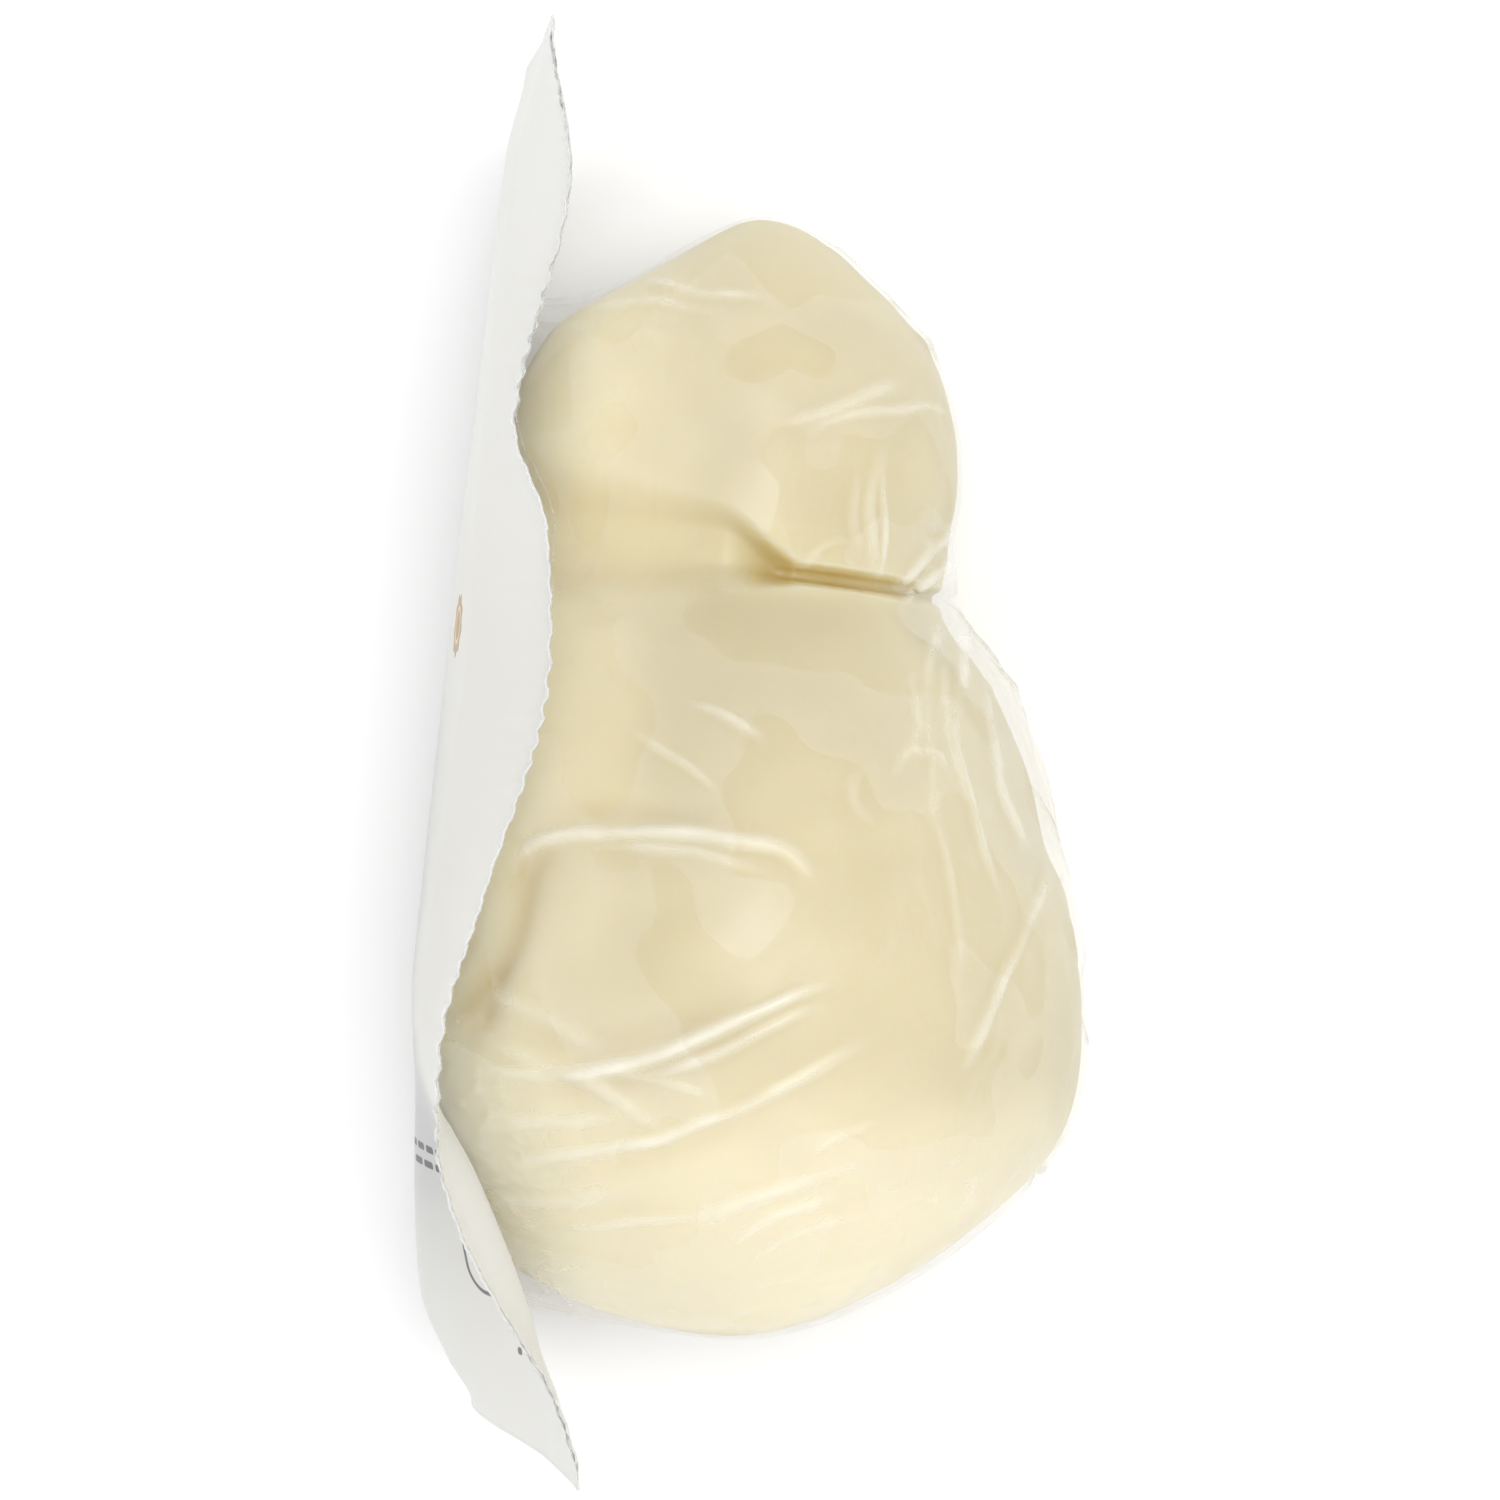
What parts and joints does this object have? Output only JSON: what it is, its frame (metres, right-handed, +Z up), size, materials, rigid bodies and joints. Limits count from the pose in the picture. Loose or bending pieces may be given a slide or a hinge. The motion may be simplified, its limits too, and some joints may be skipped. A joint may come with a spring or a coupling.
{
  "type": "vacuum-packed scamorza cheese",
  "caption": "Gourd-shaped fresh cheese with a pinched neck, shrunk into clear film on a white backing sheet, lying on its side.",
  "frame": {"origin": "on the floor, at the middle of the bounding box's base; the pack lies on its side, on the cheese and on the sheet's lower margin", "axes": "+Z up; +Y along the pack, from the body's end to the head's end; +X away from the backing sheet, through the cheese"},
  "size_m": [0.0756, 0.145, 0.0905],
  "materials": {
    "cheese": "pale cream cheese under glossy clear film",
    "sheet": "white film with a satin outer face",
    "film": "thin clear film, wrinkled and glossy"
  },
  "bodies": {
    "root": {"cheese_in_film": "cheese", "backing_sheet": "sheet"}
  },
  "joints": []
}
